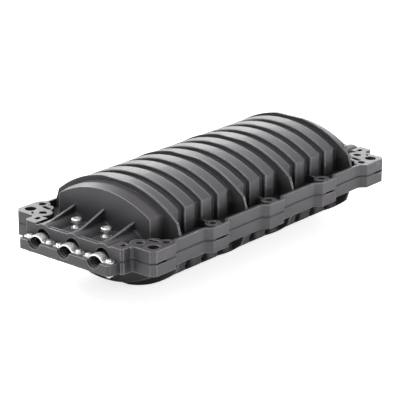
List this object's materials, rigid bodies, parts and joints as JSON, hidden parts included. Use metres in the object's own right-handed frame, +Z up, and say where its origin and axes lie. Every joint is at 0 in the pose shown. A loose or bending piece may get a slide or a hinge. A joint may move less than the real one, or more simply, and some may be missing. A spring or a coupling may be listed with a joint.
{
  "type": "fibre splice closure",
  "caption": "Horizontal in-line splice closure: two ribbed arched halves bolted at a flange, cable ports with saddle clamps at each end and splice trays inside.",
  "frame": {"origin": "centre of the parting plane between the two halves, which is the centre of the bounding box", "axes": "+X along the closure, towards the hinge-free end of the trays; +Y across it; +Z up through the cover's crown"},
  "size_m": [0.444, 0.1924, 0.11],
  "materials": {
    "case": "satin",
    "rubber": "matte",
    "zinc_steel": "satin",
    "inner_steel": "satin",
    "clamp_brass": "satin",
    "tray_plastic": "satin",
    "holder_plastic": "matte",
    "lid_plastic": "gloss",
    "strap_fabric": "matte"
  },
  "bodies": {
    "root": {"cable_bracket_1": "inner_steel", "cable_bracket_2": "inner_steel", "deck_nuts": "zinc_steel", "deck_screws": "zinc_steel", "deck_washers": "zinc_steel", "flange_bolts": "zinc_steel", "flange_nuts": "zinc_steel", "frame_screws": "zinc_steel", "hose_clamp_1": "inner_steel", "hose_clamp_2": "inner_steel", "hose_clamp_3": "inner_steel", "hose_clamp_4": "inner_steel", "hose_clamp_5": "inner_steel", "hose_clamp_6": "inner_steel", "lower_base": "case", "perimeter_seal": "rubber", "port_grommet_1": "rubber", "port_grommet_2": "rubber", "port_grommet_3": "rubber", "port_grommet_4": "rubber", "port_grommet_5": "rubber", "port_grommet_6": "rubber", "saddle_clamp_1": "zinc_steel", "saddle_clamp_2": "zinc_steel", "saddle_clamp_3": "zinc_steel", "saddle_clamp_4": "zinc_steel", "saddle_clamp_5": "zinc_steel", "saddle_clamp_6": "zinc_steel", "saddle_nuts": "zinc_steel", "saddle_screws": "zinc_steel", "splice_holder_1": "holder_plastic", "splice_holder_2": "holder_plastic", "splice_holder_3": "holder_plastic", "splice_holder_4": "holder_plastic", "splice_tray_1": "tray_plastic", "splice_tray_2": "tray_plastic", "splice_tray_3": "tray_plastic", "splice_tray_4": "tray_plastic", "strength_clamp_1": "clamp_brass", "strength_clamp_2": "clamp_brass", "strength_clamp_3": "clamp_brass", "strength_clamp_4": "clamp_brass", "strength_clamp_5": "clamp_brass", "strength_clamp_6": "clamp_brass", "strength_screws": "zinc_steel", "tray_bracket": "tray_plastic", "tray_frame": "inner_steel", "tray_lid": "lid_plastic", "tray_pins": "zinc_steel", "tray_strap": "strap_fabric", "upper_cover": "case"}
  },
  "joints": []
}
